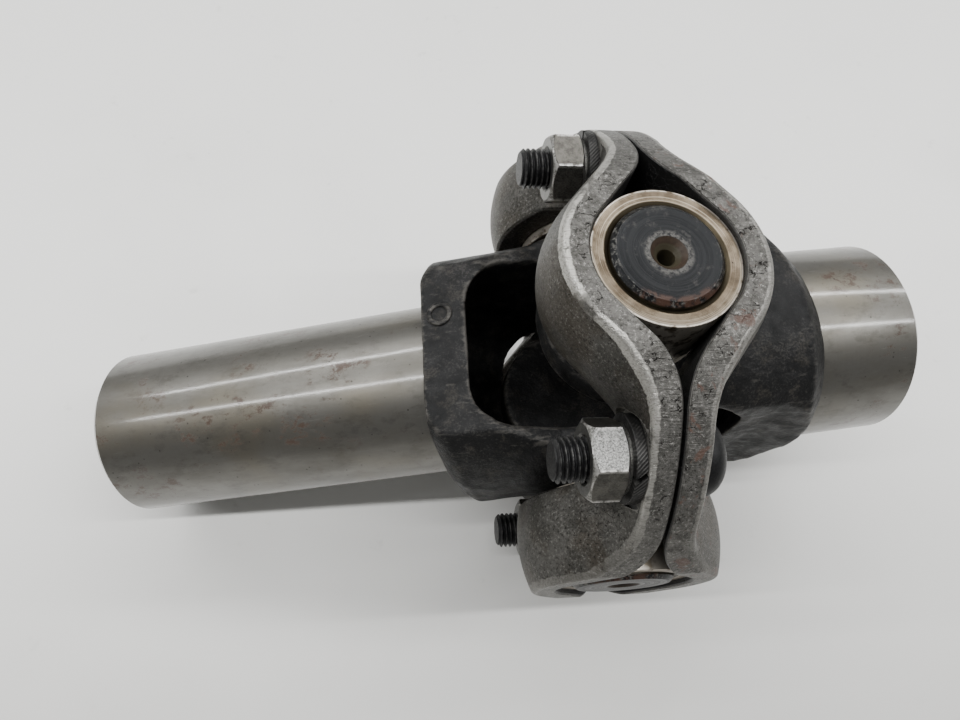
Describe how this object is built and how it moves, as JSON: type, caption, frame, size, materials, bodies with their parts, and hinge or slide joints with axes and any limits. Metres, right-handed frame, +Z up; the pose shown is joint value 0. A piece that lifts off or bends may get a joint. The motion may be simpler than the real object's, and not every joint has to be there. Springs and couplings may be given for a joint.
{
  "type": "split-ring universal joint",
  "caption": "Universal joint whose two forged yokes swing on bronze bushes clamped between two bolted ring halves; each yoke ends in a turned shaft.",
  "frame": {"origin": "centre of the joint, where the two trunnion axes cross", "axes": "+Z up from the surface the joint lies on; +X level, from the long shaft to the short shaft; +Y along the long-shaft yoke's trunnion axis"},
  "size_m": [0.1807, 0.0952, 0.0978],
  "materials": {
    "long_yoke_steel": "black forged scale, with a bare turned shaft",
    "short_yoke_steel": "black forged scale, with a bare turned shaft",
    "ring_nut_side_steel": "blasted grey forging with worn, lightly rusted edges",
    "ring_head_side_steel": "blasted grey forging with worn, lightly rusted edges",
    "bronze": "sintered bronze, oily and dull",
    "bolt_steel": "black oxide",
    "washer_steel": "dark spring steel",
    "nut_steel": "zinc plated, worn and grainy"
  },
  "bodies": {
    "ring": {"ring_half_nut_side": "ring_nut_side_steel", "ring_half_head_side": "ring_head_side_steel", "bush_y_plus": "bronze", "bush_y_minus": "bronze", "bush_z_plus": "bronze", "bush_z_minus": "bronze", "bolt_1": "bolt_steel", "bolt_2": "bolt_steel", "bolt_3": "bolt_steel", "bolt_4": "bolt_steel", "spring_washer_1": "washer_steel", "spring_washer_2": "washer_steel", "spring_washer_3": "washer_steel", "spring_washer_4": "washer_steel", "nut_1": "nut_steel", "nut_2": "nut_steel", "nut_3": "nut_steel", "nut_4": "nut_steel"},
    "long_yoke": {"long_shaft_yoke": "long_yoke_steel"},
    "short_yoke": {"short_shaft_yoke": "short_yoke_steel"}
  },
  "joints": [
    {"name": "long_yoke_swing", "type": "hinge", "parent": "ring", "child": "long_yoke", "pos_m": [0, 0, 0], "axis": [0, 1, 0], "range_deg": [-1.5, 42.5]},
    {"name": "short_yoke_swing", "type": "hinge", "parent": "ring", "child": "short_yoke", "pos_m": [0, 0, 0], "axis": [0.078, 0, 0.997], "range_deg": [-28, 16]}
  ]
}
